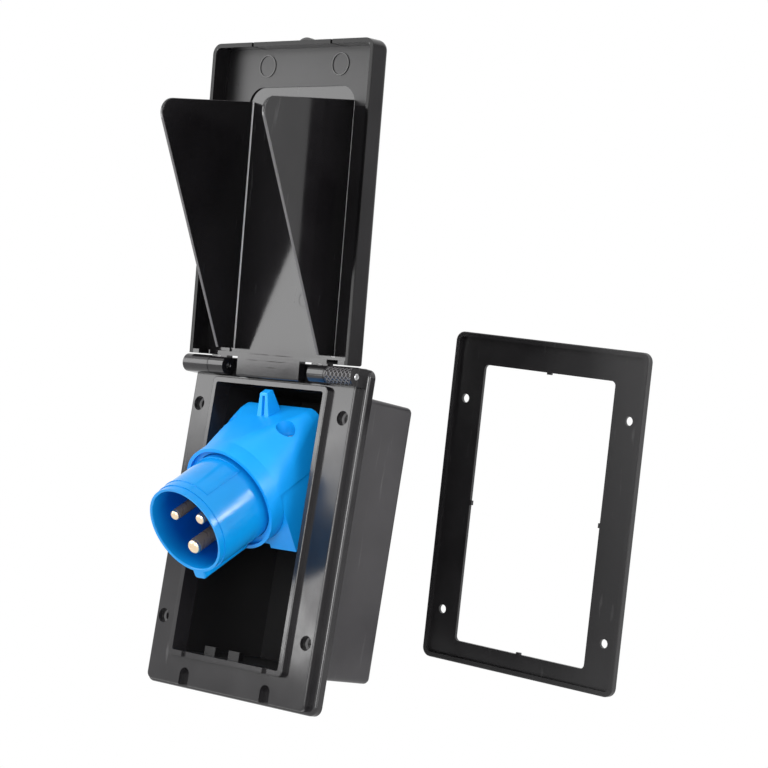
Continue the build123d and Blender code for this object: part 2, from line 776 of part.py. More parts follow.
def bracket_screws():
    """The two screws that hold the bracket to the back wall."""
    length = bracket_plate + box_wall * 0.6
    screw = screw_down(bracket_screw_r - press_clearance, bracket_screw_head_r, bracket_screw_head, length)
    seat = box_inner_y - bracket_plate
    return [Pos(x, seat, z) * Rot(90, 0, 0) * screw for x, z in bracket_screw_places()]


def hexagon(across_flats, y, hole_r):
    """A hexagonal ring along Y at the gland's place."""
    facing = Plane(origin=(0, y[0], gland_z), x_dir=(1, 0, 0), z_dir=(0, 1, 0))
    outline = facing * RegularPolygon(across_flats / 2, 6, major_radius=False)
    solid = extrude(outline, y[1] - y[0])
    return solid - rod_y(hole_r, (y[0] - 1, y[1] + 1), 0, gland_z)


def gland_body():
    """The gland's threaded stem, its hexagon outside the wall and its dome."""
    seat = box_depth + gland_seal_thickness
    hex_end = seat + gland_hex_thickness
    end = hex_end + gland_dome_length
    inner = box_inner_y - gland_nut_thickness - 0.6
    dome = rod_y(gland_dome_r, (hex_end - 1, end), 0, gland_z)
    dome = fillet(dome.edges().group_by(Axis.Y)[-1], gland_dome_r / 3)
    body = rod_y(gland_thread_r, (inner, hex_end), 0, gland_z) + dome
    body += hexagon(gland_hex, (seat, hex_end), gland_bore_r)
    return body - rod_y(gland_bore_r, (inner - 1, end + 1), 0, gland_z)


def gland_seal():
    """The rubber washer between the gland and the box."""
    y = (box_depth, box_depth + gland_seal_thickness)
    outer = rod_y(gland_hex / 2, y, 0, gland_z)
    return outer - rod_y(gland_thread_r + fit_gap / 3, (y[0] - 1, y[1] + 1), 0, gland_z)


def gland_nut():
    """The nut inside the box that draws the gland tight."""
    y = (box_inner_y - gland_nut_thickness, box_inner_y)
    return hexagon(gland_nut_hex, y, gland_thread_r + press_clearance)


def frame_nubs():
    """The small moulding nubs at the middle of each inner side."""
    half_w = opening_width / 2 + box_wall + frame_opening_clearance
    half_h = opening_height / 2 + box_wall + frame_opening_clearance
    y = (-frame_web, 0)
    half = frame_nub_width / 2
    nubs = []
    for side in (-1, 1):
        x = sorted((side * (half_w + 1), side * (half_w - frame_nub_height)))
        nubs.append(block(x, y, (-opening_centre_z - half, -opening_centre_z + half)))
        z = sorted((side * (half_h + 1), side * (half_h - frame_nub_height)))
        nubs.append(block((-half, half), y, [edge - opening_centre_z for edge in z]))
    return nubs


def mounting_frame():
    """The clamping frame, with its long end up: a web with a raised outer edge, to slip over the box."""
    width = flange_width - frame_width_less
    outer = panel(width, flange_height, flange_corner, (0, -frame_rim_depth), -flange_centre_z)
    outer = fillet(edges_at_y(outer, -frame_rim_depth), frame_edge_round / 2)
    tray = panel(
        width - 2 * frame_rim_wall,
        flange_height - 2 * frame_rim_wall,
        flange_corner - frame_rim_wall,
        (-frame_web, -frame_rim_depth - 1),
        -flange_centre_z,
    )
    grow = 2 * (box_wall + frame_opening_clearance)
    through = (1, -frame_web - 1)
    window = panel(opening_width + grow, opening_height + grow, opening_corner + 1, through, -opening_centre_z)
    frame = outer - tray - window
    for x, z in screw_places():
        frame -= rod_y(screw_hole_r, (1, -frame_web - 1), x, z)
    frame += frame_nubs()
    place = Pos(*frame_offset) * Rot(0, 0, frame_turn) * Rot(frame_lean, 0, 0) * Rot(0, frame_twist, 0)
    return place * frame


def group(pieces):
    """Several separate solids under one name."""
    return Compound(children=list(pieces))


def all_nodes():
    """Every sub-part by name, in its place at rest."""
    inlet = {
        "inlet_shroud": inlet_shroud(),
        "inlet_housing": inlet_housing(),
        "inlet_cover": inlet_cover(),
        "contact_carrier": contact_carrier(),
        "housing_screws": group(housing_screws()),
        "terminal_screws": group(terminal_screws()),
        "cord_clamp": cord_clamp(),
        "clamp_screws": group(clamp_screws()),
    }
    for name, x, z, radius, set_back in pin_places():
        inlet[name] = contact_pin(x, z, radius, set_back)
    nodes = {name: inlet_place * piece for name, piece in inlet.items()}
    nodes.update(
        {
            "flange": flange(),
            "recess_box": recess_box(),
            "hinge_pin_left": hinge_pin(-1),
            "hinge_pin_right": hinge_pin(1),
            "lid": lid(),
            "tilt_bracket": tilt_bracket(),
            "tilt_pin": tilt_pin(),
            "bracket_screws": group(bracket_screws()),
            "gland_body": gland_body(),
            "gland_seal": gland_seal(),
            "gland_nut": gland_nut(),
            "mounting_frame": mounting_frame(),
        }
    )
    return nodes


os.makedirs("parts", exist_ok=True)
for name, piece in all_nodes().items():
    export_step(piece, f"parts/{name}.step")
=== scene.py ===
import math

import bpy
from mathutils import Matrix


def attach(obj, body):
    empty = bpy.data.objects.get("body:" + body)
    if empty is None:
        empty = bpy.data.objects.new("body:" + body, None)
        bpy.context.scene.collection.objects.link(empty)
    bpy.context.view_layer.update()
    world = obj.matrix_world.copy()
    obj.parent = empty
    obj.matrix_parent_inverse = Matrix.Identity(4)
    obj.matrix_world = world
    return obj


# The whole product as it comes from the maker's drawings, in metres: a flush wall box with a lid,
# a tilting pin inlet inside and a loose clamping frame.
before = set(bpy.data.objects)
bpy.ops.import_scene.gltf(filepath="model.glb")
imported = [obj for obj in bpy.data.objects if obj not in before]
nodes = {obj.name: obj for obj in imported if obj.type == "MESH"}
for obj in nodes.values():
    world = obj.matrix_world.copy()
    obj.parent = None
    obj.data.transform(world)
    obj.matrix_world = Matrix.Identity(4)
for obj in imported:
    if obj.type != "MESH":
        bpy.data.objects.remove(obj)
bpy.ops.object.select_all(action="DESELECT")
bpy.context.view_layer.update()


# Flange: the black front plate of the wall box, with its rim, grooves and hinge knuckles. It is
# moulded in half-gloss thermoplastic, so it shows a soft grain, slow waves and a few pale scuffs.
black_mean = (0.0105, 0.0098, 0.0108)
black_tints = ((0.008, 0.0074, 0.0083), (0.0132, 0.0124, 0.0136))
scuff_tone = (0.11, 0.108, 0.11)
hinge_line = (-0.0115, 0.070)
knuckle_radius = 0.0043
knurl_span = (0.0392, 0.0542)
knurl_pitch, knurl_depth = 0.0024, 0.0003
knurl_crest_highlight = (0.085, 0.082, 0.086)
rim_front = (-0.0108, -0.01048)
rim_highlight_heights = (-0.040, 0.030)
rim_highlight_tone = (0.032, 0.031, 0.032)
hole_spacing = (0.094, 0.1024)
hole_floor_radii = (0.0021, 0.0032)
hole_floor_depths = (-0.0050, -0.0042)
hole_floor_highlight_tone = (0.13, 0.128, 0.13)


def shader_of(name, colour, roughness, metal=0.0, specular=0.5, ior=1.5):
    """A new finish with its plain values set on the shader itself."""
    material = bpy.data.materials.new(name)
    material.use_nodes = True
    shader = material.node_tree.nodes["Principled BSDF"]
    shader.inputs["Base Color"].default_value = (*colour, 1.0)
    shader.inputs["Roughness"].default_value = roughness
    shader.inputs["Metallic"].default_value = metal
    shader.inputs["Specular IOR Level"].default_value = specular
    shader.inputs["IOR"].default_value = ior
    material.diffuse_color = (*colour, 1.0)
    return material, shader


def mottle(material, scale, detail=3.0, stretch=(1.0, 1.0, 1.0), turn=(0.0, 0.0, 0.0), seed=0.0):
    """A cloudy pattern fixed to the piece, with its clouds about 1 / scale metres across."""
    tree = material.node_tree
    place = tree.nodes.new("ShaderNodeTexCoord")
    mapping = tree.nodes.new("ShaderNodeMapping")
    mapping.inputs["Location"].default_value = (seed, seed * 0.7, seed * 1.3)
    mapping.inputs["Rotation"].default_value = turn
    mapping.inputs["Scale"].default_value = stretch
    clouds = tree.nodes.new("ShaderNodeTexNoise")
    clouds.inputs["Scale"].default_value = scale
    clouds.inputs["Detail"].default_value = detail
    tree.links.new(place.outputs["Object"], mapping.inputs["Vector"])
    tree.links.new(mapping.outputs["Vector"], clouds.inputs["Vector"])
    return clouds.outputs["Fac"]


def fitted(material, source, low, high, start=0.3, end=0.7):
    """The pattern's values from start to end spread over low to high."""
    tree = material.node_tree
    spread = tree.nodes.new("ShaderNodeMapRange")
    spread.inputs["From Min"].default_value = start
    spread.inputs["From Max"].default_value = end
    spread.inputs["To Min"].default_value = low
    spread.inputs["To Max"].default_value = high
    tree.links.new(source, spread.inputs["Value"])
    return spread.outputs["Result"]


def blended(material, share, first, second):
    """A colour between two others; each may be a colour or another pattern's output."""
    tree = material.node_tree
    mix = tree.nodes.new("ShaderNodeMix")
    mix.data_type = "RGBA"
    tree.links.new(share, mix.inputs["Factor"])
    for socket, colour in ((mix.inputs[6], first), (mix.inputs[7], second)):
        if isinstance(colour, tuple):
            socket.default_value = (*colour, 1.0)
        else:
            tree.links.new(colour, socket)
    return mix.outputs[2]


def laid_over(material, shader, share, colour):
    """Lays a colour over the finish's present one, as far as share says."""
    plain = shader.inputs["Base Color"].links[0].from_socket
    material.node_tree.links.new(blended(material, share, plain, colour), shader.inputs["Base Color"])


def relief(material, shader, heights, normal=None):
    """Raises the surface by each pattern in turn, given with its depth in metres."""
    tree = material.node_tree
    for height, depth in heights:
        bump = tree.nodes.new("ShaderNodeBump")
        bump.inputs["Strength"].default_value = 1.0
        bump.inputs["Distance"].default_value = depth
        tree.links.new(height, bump.inputs["Height"])
        if normal is not None:
            tree.links.new(normal, bump.inputs["Normal"])
        normal = bump.outputs["Normal"]
    tree.links.new(normal, shader.inputs["Normal"])


def black_moulding(name, gloss, wave, grain, scuff, seed, lift=1.0):
    """Black thermoplastic: gloss is its lowest and highest roughness, wave and grain are depths."""
    deep, pale = (tuple(lift * part for part in tint) for tint in black_tints)
    material, shader = shader_of(name, black_mean, gloss[0])
    links = material.node_tree.links
    clouds = mottle(material, 38.0, 4.0, seed=seed)
    links.new(fitted(material, clouds, *gloss), shader.inputs["Roughness"])
    tone = blended(material, fitted(material, clouds, 0.0, 1.0), deep, pale)
    rubs = mottle(
        material, 330.0, 5.0, stretch=(1.0, 1.0, 0.09), turn=(0.2, 0.1, 0.35), seed=seed + 3.0
    )
    worn = fitted(material, rubs, 0.0, scuff, 0.66, 0.76)
    links.new(blended(material, worn, tone, scuff_tone), shader.inputs["Base Color"])
    slow = mottle(material, 22.0, 1.0, seed=seed + 5.0)
    fine = mottle(material, 1500.0, 2.0, seed=seed + 7.0)
    relief(material, shader, ((slow, wave), (fine, grain)))
    return material, shader


def dress(name, material):
    """Gives one of the object's own nodes its finish."""
    nodes[name].data.materials.clear()
    nodes[name].data.materials.append(material)


def arithmetic(material, operation, *values):
    """One sum on one to three values, each a number or another node's output."""
    tree = material.node_tree
    node = tree.nodes.new("ShaderNodeMath")
    node.operation = operation
    for socket, value in zip(node.inputs, values):
        if isinstance(value, (int, float)):
            socket.default_value = value
        else:
            tree.links.new(value, socket)
    return node.outputs[0]


def product(material, value, *factors):
    """Several values multiplied together."""
    for factor in factors:
        value = arithmetic(material, "MULTIPLY", value, factor)
    return value


def distance(material, first, second):
    """The distance from a line, given as distances along two axes square to it."""
    squares = [product(material, value, value) for value in (first, second)]
    return arithmetic(material, "SQRT", arithmetic(material, "ADD", *squares))


def seen_from(material, origin, tilt):
    """Distances along X, Y and Z from origin, in axes turned by tilt about X."""
    tree = material.node_tree
    place = tree.nodes.new("ShaderNodeTexCoord")
    shift = tree.nodes.new("ShaderNodeMapping")
    shift.inputs["Location"].default_value = tuple(-value for value in origin)
    turn = tree.nodes.new("ShaderNodeMapping")
    turn.inputs["Rotation"].default_value = (tilt, 0.0, 0.0)
    split = tree.nodes.new("ShaderNodeSeparateXYZ")
    tree.links.new(place.outputs["Object"], shift.inputs["Vector"])
    tree.links.new(shift.outputs["Vector"], turn.inputs["Vector"])
    tree.links.new(turn.outputs["Vector"], split.inputs["Vector"])
    return split.outputs["X"], split.outputs["Y"], split.outputs["Z"]


def within(material, value, low, high, soft):
    """One where the value lies between low and high, falling to nothing over soft."""
    rise = fitted(material, value, 0.0, 1.0, low - soft, low)
    fall = fitted(material, value, 1.0, 0.0, high, high + soft)
    return product(material, rise, fall)


def diamond_knurl(material, shader):
    """Crossed ridges round the hinge line, on the right-hand knuckle only, with painted highlights on
    their crests.
    """
    across, out, up = seen_from(material, (0.0, *hinge_line), 0.0)
    around = product(material, arithmetic(material, "ARCTAN2", up, out), knuckle_radius)
    ridges = []
    for combine in ("ADD", "SUBTRACT"):
        slant = product(material, arithmetic(material, combine, across, around), math.tau / knurl_pitch)
        ridges.append(arithmetic(material, "SINE", slant))
    height = arithmetic(material, "MAXIMUM", *ridges)
    band = within(material, across, *knurl_span, 0.0003)
    near = within(material, distance(material, out, up), 0.0, knuckle_radius * 1.02, 0.0001)
    height = product(material, height, band, near)
    relief(material, shader, ((height, knurl_depth),), shader.inputs["Normal"].links[0].from_socket)
    # Painted highlight: the knurl's crests are laid over in a paler tone.
    laid_over(material, shader, fitted(material, height, 0.0, 1.0, 0.5, 1.0), knurl_crest_highlight)


def painted_rim_highlight(material, shader):
    """Painted highlight: a paler front on the opening's rim, paler towards its top."""
    _, off, up = seen_from(material, (0.0, 0.0, 0.0), 0.0)
    front = within(material, off, *rim_front, 0.00005)
    upper = fitted(material, up, 0.1, 1.0, *rim_highlight_heights)
    patches = fitted(material, mottle(material, 70.0, 3.0, seed=9.0), 0.55, 1.0)
    # Painted highlight on the rim's front, stronger towards the top.
    laid_over(material, shader, product(material, front, upper, patches), rim_highlight_tone)


def painted_hole_highlights(material, shader):
    """Painted highlights: pale rings on the floors of the four counterbores, where the moulding catches
    the light.
    """
    across, off, up = seen_from(material, (0.0, 0.0, 0.0), 0.0)
    sides = []
    for value, spacing in zip((across, up), hole_spacing):
        side = arithmetic(material, "ABSOLUTE", value)
        sides.append(arithmetic(material, "SUBTRACT", side, spacing / 2))
    floor = within(material, off, *hole_floor_depths, 0.0001)
    ring = within(material, distance(material, *sides), *hole_floor_radii, 0.0001)
    # Painted highlight laid on the counterbore floors.
    laid_over(material, shader, product(material, floor, ring), hole_floor_highlight_tone)


flange_black, flange_shader = black_moulding("flange_black", (0.12, 0.27), 0.0005, 0.00001, 0.5, 1.0)
# Painted highlights on the knurl's crests, the rim's front and the counterbore floors.
diamond_knurl(flange_black, flange_shader)
painted_rim_highlight(flange_black, flange_shader)
painted_hole_highlights(flange_black, flange_shader)
dress("flange", flange_black)


# Deep box: the rest of that moulding, let into the wall. Its outside is spark-eroded to an even
# matt grain, because it is hidden once fitted, and its inside carries painted shade.
box_middle = (0.0, 0.0, -0.0018)
wall_middle_x, wall_middle_z = 0.0358, 0.0650
rear_wall_middle = 0.0499
hollow_shade_tone = (0.0045, 0.0042, 0.0046)


def painted_hollow_shade(material, shader):
    """Painted shade: a darker tone inside the box, up to the middle of its walls."""
    across, off, up = seen_from(material, box_middle, 0.0)
    ahead = fitted(material, off, 1.0, 0.0, rear_wall_middle, rear_wall_middle + 0.0001)
    between = within(material, across, -wall_middle_x, wall_middle_x, 0.0001)
    level = within(material, up, -wall_middle_z, wall_middle_z, 0.0001)
    # Painted shade laid inside the box's walls.
    laid_over(material, shader, product(material, ahead, between, level), hollow_shade_tone)


box_black, box_shader = black_moulding("box_black", (0.34, 0.46), 0.0002, 0.00003, 0.35, 12.0, lift=2.4)
painted_hollow_shade(box_black, box_shader)
dress("recess_box", box_black)


# Hinge pins: two short rods of bright drawn steel, pressed into the flange's knuckles, and the
# longer rod that the inlet tilts on. Drawing leaves fine lines along them.
def steel(name, colour, roughness, along, seed):
    """Bright steel with fine lines along one direction."""
    material, shader = shader_of(name, colour, roughness, metal=1.0)
    links = material.node_tree.links
    lines = mottle(material, 900.0, 3.0, stretch=along, seed=seed)
    links.new(fitted(material, lines, roughness - 0.06, roughness + 0.1), shader.inputs["Roughness"])
    darker = tuple(value * 0.72 for value in colour)
    tone = blended(material, fitted(material, lines, 0.0, 1.0), darker, colour)
    links.new(tone, shader.inputs["Base Color"])
    relief(material, shader, ((lines, 0.000008),))
    return material


pin_steel = steel("pin_steel", (0.62, 0.62, 0.63), 0.2, (0.06, 1.0, 1.0), 2.0)
for name in ("hinge_pin_left", "hinge_pin_right", "tilt_pin"):
    dress(name, pin_steel)


# Lid: a black cover with a skirt and two thin cheeks that hide the sides of the inlet when it is
# shut. The sunk panel and the cheeks come from a polished mould and mirror each other softly; the
# plate's far end is spark-eroded, and the cheeks' free edges and roots carry painted highlights.
lid_angle = math.radians(173.2)
plate_depth = -0.00625
pad_depth = -0.00705
plain_from = (0.1225, 0.1235)
far_rim = (0.1498, 0.1502)
side_rim = (0.0494, 0.0496)
rim_top = (0.0027, 0.0030)
skirt_outside = (0.0512, 0.0517)
lid_outside = (-0.0082, -0.0076)
eroded_roughness = 0.42
polished_shine, dull_shine = 0.5, 0.15
cheek_faces = (0.0322, 0.0338)
cheek_foot = (0.0084, 0.0036)
cheek_tip = (0.120, 0.054)
cheek_base = (0.126, plate_depth)
cheek_edge_half = 0.00022
cheek_edge_highlight = (0.16, 0.155, 0.16)
cheek_root_highlight = (0.75, 0.74, 0.75)
rim_shade = (0.002, 0.002, 0.002)
web_line_half = 0.012
web_line_heights = (0.0, 0.0090)
web_line_pitch = 0.0029
web_line_tone = (0.001, 0.001, 0.001)


def seen_from_hinge(material):
    """Distances to either side, along the open lid from its hinge line, and off that line."""
    across, off, up = seen_from(material, (0.0, *hinge_line), 0.0)
    lean = math.pi - lid_angle
    cosine, sine = math.cos(lean), math.sin(lean)
    along = arithmetic(
        material, "SUBTRACT", product(material, up, cosine), product(material, off, sine)
    )
    height = arithmetic(
        material, "SUBTRACT", product(material, off, -cosine), product(material, up, sine)
    )
    return arithmetic(material, "ABSOLUTE", across), along, height


def highlight_line_band(material, along, height, first, last):
    """One along the line between two points of the cheek's side view, given along and off the lid."""
    lean = math.atan2(last[1] - first[1], last[0] - first[0])
    drop = first[1] * math.cos(lean) - first[0] * math.sin(lean)
    level = arithmetic(
        material,
        "SUBTRACT",
        product(material, height, math.cos(lean)),
        product(material, along, math.sin(lean)),
    )
    half = cheek_edge_half
    return within(material, level, drop - half, drop + half, half / 2)


def skirt_finish(material, shader, side, along, height):
    """Erodes the lid's outside and the plate's far end, and shades the skirt's front."""
    links = material.node_tree.links
    edge = fitted(material, side, 0.0, 1.0, *skirt_outside)
    outside = arithmetic(material, "MAXIMUM", edge, fitted(material, height, 1.0, 0.0, *lid_outside))
    plate = within(material, height, plate_depth - 0.0002, plate_depth + 0.0003, 0.0002)
    plate = product(material, plate, fitted(material, along, 0.0, 1.0, *plain_from))
    eroded = arithmetic(material, "MAXIMUM", plate, outside)
    finish = material.node_tree.nodes.new("ShaderNodeMix")
    links.new(eroded, finish.inputs["Factor"])
    links.new(shader.inputs["Roughness"].links[0].from_socket, finish.inputs[2])
    finish.inputs[3].default_value = eroded_roughness
    links.new(finish.outputs[0], shader.inputs["Roughness"])
    border = fitted(material, side, 0.0, 1.0, *side_rim)
    border = arithmetic(material, "MAXIMUM", border, fitted(material, along, 0.0, 1.0, *far_rim))
    rim = product(material, border, fitted(material, height, 0.0, 1.0, *rim_top))
    dull = arithmetic(material, "MAXIMUM", outside, rim)
    shine = fitted(material, dull, polished_shine, dull_shine, 0.0, 1.0)
    links.new(shine, shader.inputs["Specular IOR Level"])
    laid_over(material, shader, product(material, rim, 0.7), rim_shade)


def painted_cheek_highlights(material, shader, side, along, height):
    """Painted highlights: pale free edges on the cheeks, and a paler line along each cheek's root."""
    free = highlight_line_band(material, along, height, cheek_foot, cheek_tip)
    tip = highlight_line_band(material, along, height, cheek_tip, cheek_base)
    cheek = within(material, side, cheek_faces[0] - 0.0001, cheek_faces[1] + 0.0001, 0.0001)
    raised = fitted(material, height, 0.0, 1.0, plate_depth + 0.0006, plate_depth + 0.0009)
    edges = product(material, arithmetic(material, "MAXIMUM", free, tip), cheek, raised, 0.7)
    # Painted highlight along the cheeks' free edges.
    laid_over(material, shader, edges, cheek_edge_highlight)
    low = within(material, height, pad_depth - 0.0002, plate_depth - 0.0002, 0.0001)
    near = within(material, side, cheek_faces[0] - 0.0003, cheek_faces[1] + 0.0003, 0.0001)
    span = within(material, along, cheek_foot[0], cheek_base[0] - 0.0005, 0.0005)
    # Painted highlight along the cheeks' roots.
    laid_over(material, shader, product(material, low, near, span), cheek_root_highlight)


def web_lines(material, shader, side, along, seed):
    """Thin broken lines across the web between the knuckles, as the mould's cutter left them."""
    waves = arithmetic(material, "SINE", product(material, along, math.tau / web_line_pitch))
    web = within(material, side, 0.0, web_line_half, 0.003)
    level = within(material, along, *web_line_heights, 0.0002)
    patches = mottle(material, 90.0, 2.0, stretch=(1.0, 1.0, 8.0), seed=seed)
    breaks = fitted(material, patches, 0.0, 1.0, 0.42, 0.52)
    lines = product(material, fitted(material, waves, 0.0, 0.9, 0.86, 0.97), web, level, breaks)
    laid_over(material, shader, lines, web_line_tone)
    shine = shader.inputs["Specular IOR Level"]
    fainter = product(material, lines, 0.35)
    fainter = arithmetic(material, "SUBTRACT", shine.links[0].from_socket, fainter)
    material.node_tree.links.new(fainter, shine)


def lid_moulding(name, seed):
    """The lid's black: glossy by the cheeks, eroded at the far end, with painted highlights on the
    cheeks' edges and roots.
    """
    material, shader = black_moulding(name, (0.08, 0.15), 0.00018, 0.000005, 0.2, seed)
    side, along, height = seen_from_hinge(material)
    skirt_finish(material, shader, side, along, height)
    web_lines(material, shader, side, along, seed + 11.0)
    painted_cheek_highlights(material, shader, side, along, height)
    return material


lid_black = lid_moulding("lid_black", 21.0)
dress("lid", lid_black)


# Ejector marks: faint rings that the mould's round ejector pins leave in the lid's plate. They
# are part of the lid and stand a few hundredths of a millimetre proud.
ring_thickness = 0.00016
ring_width = 0.00022
ring_rounding = 0.00005
ejector_places = (
    ("ejector_mark_middle", 0.0034, -0.0115, 0.0712, pad_depth),
    ("ejector_mark_low", 0.0034, 0.0115, 0.0335, pad_depth),
    ("ejector_mark_high", 0.0034, 0.0115, 0.1085, pad_depth),
    ("ejector_mark_left_top", 0.0014, -0.0438, 0.1345, plate_depth),
    ("ejector_mark_right_top", 0.0014, 0.0438, 0.1345, plate_depth),
    ("ejector_mark_left_low", 0.0014, -0.0438, 0.0300, plate_depth),
    ("ejector_mark_right_low", 0.0014, 0.0438, 0.0300, plate_depth),
)


def witness_ring(name, radius):
    """A low ring with rounded edges, lying in the XY plane."""
    bpy.ops.mesh.primitive_cylinder_add(
        vertices=48, radius=radius, depth=ring_thickness, location=(0, 0, 0)
    )
    ring = bpy.context.object
    ring.name = name
    bpy.ops.object.mode_set(mode="EDIT")
    bpy.ops.mesh.select_mode(type="FACE")
    bpy.ops.mesh.select_all(action="DESELECT")
    bpy.ops.object.mode_set(mode="OBJECT")
    for face in ring.data.polygons:
        face.select = abs(face.normal.z) > 0.9
    bpy.ops.object.mode_set(mode="EDIT")
    bpy.ops.mesh.inset(thickness=ring_width)
    bpy.ops.mesh.bridge_edge_loops()
    bpy.ops.object.mode_set(mode="OBJECT")
    rounding = ring.modifiers.new("rounding", "BEVEL")
    rounding.width = ring_rounding
    rounding.segments = 2
    bpy.ops.object.modifier_apply(modifier=rounding.name)
    bpy.ops.object.shade_smooth_by_angle(angle=math.radians(40))
    return ring


def put_in_lid(piece, across, along, depth):
    """Sets a mark that faces +Z on the open lid's inner face and leaves its place in its mesh."""
    piece.rotation_euler = (math.pi / 2 + math.pi - lid_angle, 0.0, 0.0)
    reach_y = -along * math.sin(lid_angle) + depth * math.cos(lid_angle)
    reach_z = -along * math.cos(lid_angle) - depth * math.sin(lid_angle)
    piece.location = (across, hinge_line[0] + reach_y, hinge_line[1] + reach_z)
    bpy.ops.object.select_all(action="DESELECT")
    piece.select_set(True)
    bpy.context.view_layer.objects.active = piece
    bpy.ops.object.transform_apply(location=True, rotation=True, scale=True)


ejector_rings = []
for name, radius, across, along, depth in ejector_places:
    ring = witness_ring(name, radius)
    ejector_rings.append(ring)
    put_in_lid(ring, across, along, depth)
    ring.data.materials.append(lid_black)
    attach(ring, "lid")


# Inlet: the blue shroud, upper shell and lower shell, moulded in tough light blue thermoplastic
# and clamped by two long screws. The blue has a soft sheen and a very fine grain.
inlet_tilt = math.radians(36.1)
mouth_y, mouth_z = -0.0485, -0.0102
shroud_tones = ((0.003, 0.285, 0.75), (0.005, 0.32, 0.81))
shell_tones = ((0.003, 0.245, 0.68), (0.005, 0.28, 0.74))
shroud_bore = 0.0201
bore_painted_shade_end = 0.011
bore_painted_shade = (0.001, 0.125, 0.6)


def blue_moulding(name, tones, gloss, seed):
    """Blue thermoplastic between two tones, with slow clouds and a fine grain."""
    material, shader = shader_of(name, tones[1], gloss[0], specular=0.38, ior=1.48)
    links = material.node_tree.links
    clouds = mottle(material, 55.0, 4.0, seed=seed)
    links.new(fitted(material, clouds, *gloss), shader.inputs["Roughness"])
    tone = blended(material, fitted(material, clouds, 0.0, 1.0), *tones)
    links.new(tone, shader.inputs["Base Color"])
    slow = mottle(material, 60.0, 1.5, seed=seed + 4.0)
    fine = mottle(material, 1900.0, 2.0, seed=seed + 9.0)
    relief(material, shader, ((slow, 0.00012), (fine, 0.00001)))
    return material, shader


def seen_from_mouth(material):
    """Distances across the shroud, behind its mouth along the pins, and up from its middle."""
    return seen_from(material, (0.0, mouth_y, mouth_z), -inlet_tilt)


def painted_bore_shade(material, shader):
    """Painted shade: a deeper blue inside the shroud, growing deeper behind the mouth."""
    across, back, up = seen_from_mouth(material)
    reach = distance(material, across, up)
    inside = fitted(material, reach, 1.0, 0.0, shroud_bore, shroud_bore + 0.0003)
    depth = fitted(material, back, 0.0, 1.0, 0.0, bore_painted_shade_end)
    # Painted shade laid inside the shroud's bore.
    laid_over(material, shader, product(material, inside, depth), bore_painted_shade)


shroud_blue, shroud_shader = blue_moulding("shroud_blue", shroud_tones, (0.11, 0.2), 31.0)
painted_bore_shade(shroud_blue, shroud_shader)
dress("inlet_shroud", shroud_blue)
shell_blue, _ = blue_moulding("shell_blue", shell_tones, (0.3, 0.42), 36.0)
dress("inlet_housing", shell_blue)
dress("inlet_cover", shell_blue)


# Rating field: the low raised border round the shroud's flat rating field, moulded with the
# shroud. The field itself is left bare.
field_start, field_end = 0.0072, 0.0296
field_half_angle = math.radians(42.0)
border_width = 0.00055
border_height = 0.0003
border_sunk = 0.0002
border_rounding = 0.00008
shroud_front_r, shroud_back_r, shroud_length = 0.0216, 0.0220, 0.037


def shroud_radius(station):
    """The shroud's outer radius at a distance behind its mouth."""
    return shroud_front_r + (shroud_back_r - shroud_front_r) * station / shroud_length


bpy.ops.mesh.primitive_cone_add(
    vertices=240,
    radius1=shroud_radius(field_end),
    radius2=shroud_radius(field_start),
    depth=field_end - field_start,
    end_fill_type="NOTHING",
    location=(0, 0, 0),
)
border = bpy.context.object
border.name = "rating_field_border"
half_field = (field_end - field_start) / 2
for cut, facing in ((half_field - border_width, 1.0), (border_width - half_field, -1.0)):
    bpy.ops.object.mode_set(mode="EDIT")
    bpy.ops.mesh.select_all(action="SELECT")
    bpy.ops.mesh.bisect(plane_co=(0, 0, cut), plane_no=(0, 0, facing))
    bpy.ops.object.mode_set(mode="OBJECT")
border_angle = border_width / shroud_back_r
for face in border.data.polygons:
    swing = abs(math.atan2(face.center.x, face.center.y))
    past_side = swing > field_half_angle
    inside = swing < field_half_angle - border_angle and abs(face.center.z) < half_field - border_width
    face.select = past_side or inside
bpy.ops.object.mode_set(mode="EDIT")
bpy.ops.mesh.select_mode(type="FACE")
bpy.ops.mesh.delete(type="FACE")
bpy.ops.object.mode_set(mode="OBJECT")
wall = border.modifiers.new("wall", "SOLIDIFY")
wall.thickness = border_height + border_sunk
wall.offset = -1.0 + 2.0 * border_height / (border_height + border_sunk)
bpy.ops.object.modifier_apply(modifier=wall.name)
rounding = border.modifiers.new("rounding", "BEVEL")
rounding.width = border_rounding
rounding.segments = 2
rounding.limit_method = "ANGLE"
bpy.ops.object.modifier_apply(modifier=rounding.name)
bpy.ops.object.shade_smooth_by_angle(angle=math.radians(35))
middle = (field_start + field_end) / 2
border.rotation_euler = (math.pi / 2 + inlet_tilt, 0, 0)
border.location = (0, mouth_y + middle * math.cos(inlet_tilt), mouth_z + middle * math.sin(inlet_tilt))
bpy.ops.object.transform_apply(location=True, rotation=True, scale=True)
border.data.materials.append(shroud_blue)
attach(border, "inlet")


# Contact carrier: the dark blue insulating disc deep in the shroud, with a boss round each pin,
# and the small clamp bar behind it. Both are matt mouldings.
carrier_tones = ((0.001, 0.05, 0.22), (0.002, 0.075, 0.30))
carrier_blue, _ = blue_moulding("carrier_blue", carrier_tones, (0.45, 0.6), 41.0)
dress("contact_carrier", carrier_blue)
dress("cord_clamp", carrier_blue)


# Contact pins: turned brass, bright on their round tips where the connector wears them and
# tarnished to a dark grey along the shaft.
brass_tone = (0.93, 0.74, 0.52)
tarnish_tone = (0.13, 0.112, 0.098)
tarnish_metal = 0.45


